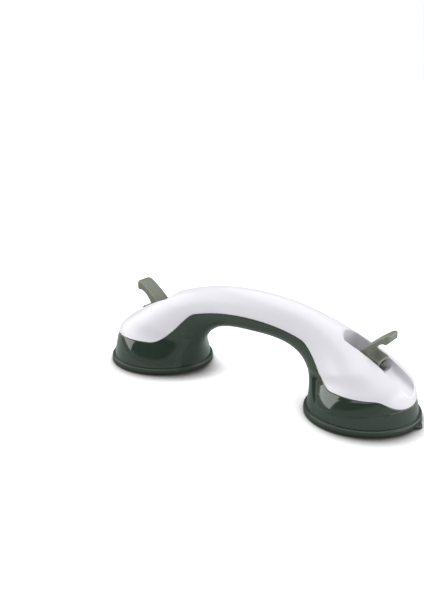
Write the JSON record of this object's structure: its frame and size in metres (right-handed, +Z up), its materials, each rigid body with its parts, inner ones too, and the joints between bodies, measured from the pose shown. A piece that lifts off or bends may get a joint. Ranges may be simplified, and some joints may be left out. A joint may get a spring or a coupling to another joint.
{
  "type": "suction grab bar",
  "caption": "Arched hand grip on round suction cups, with a cam lever at each end that draws the cup up and locks it to a smooth wall.",
  "frame": {"origin": "on the surface that the cups stand on, midway between the cups", "axes": "+X along the bar to the right-hand end, +Z up out of the surface, -Y towards the viewer of the picture"},
  "size_m": [0.279, 0.086, 0.076],
  "materials": {
    "white_shell": "glossy moulded plastic",
    "green_shell": "glossy moulded plastic",
    "lever_sage": "satin moulded plastic",
    "cup_rubber": "smooth soft rubber",
    "stem_plastic": "natural moulded plastic",
    "disc_plastic": "moulded plastic",
    "pin_steel": "ground steel",
    "plate_steel": "stamped stainless steel",
    "screw_steel": "plated steel"
  },
  "bodies": {
    "frame": {"upper_shell": "white_shell", "lower_shell": "green_shell", "suction_cup_left": "cup_rubber", "suction_cup_right": "cup_rubber", "cam_plate_left": "plate_steel", "cam_plate_right": "plate_steel", "base_disc_left": "disc_plastic", "base_disc_right": "disc_plastic", "housing_screw_left_inner": "screw_steel", "housing_screw_left_outer": "screw_steel", "housing_screw_right_inner": "screw_steel", "housing_screw_right_outer": "screw_steel", "grip_screw_left": "screw_steel", "grip_screw_right": "screw_steel"},
    "stem_left": {"draw_stem_left": "stem_plastic"},
    "stem_right": {"draw_stem_right": "stem_plastic"},
    "lever_left": {"lever_left": "lever_sage", "lever_pin_left": "pin_steel"},
    "lever_right": {"lever_right": "lever_sage", "lever_pin_right": "pin_steel"}
  },
  "joints": [
    {"name": "stem_left_slide", "type": "slide", "parent": "frame", "child": "stem_left", "axis": [0, 0, 1], "range_m": [0, 0.005], "deforming": ["suction_cup_left"]},
    {"name": "lever_left_hinge", "type": "hinge", "parent": "stem_left", "child": "lever_left", "pos_m": [-0.0933, 0, 0.044], "axis": [0, -1, 0], "range_deg": [0, 72.5]},
    {"name": "stem_right_slide", "type": "slide", "parent": "frame", "child": "stem_right", "axis": [0, 0, 1], "range_m": [0, 0.005], "deforming": ["suction_cup_right"]},
    {"name": "lever_right_hinge", "type": "hinge", "parent": "stem_right", "child": "lever_right", "pos_m": [0.0933, 0, 0.044], "axis": [0, 1, 0], "range_deg": [0, 72.5]}
  ],
  "couplings": [
    {"joint": "lever_left_hinge", "follows": "stem_left_slide", "rad_per_m": 253.07},
    {"joint": "lever_right_hinge", "follows": "stem_right_slide", "rad_per_m": 253.07}
  ]
}
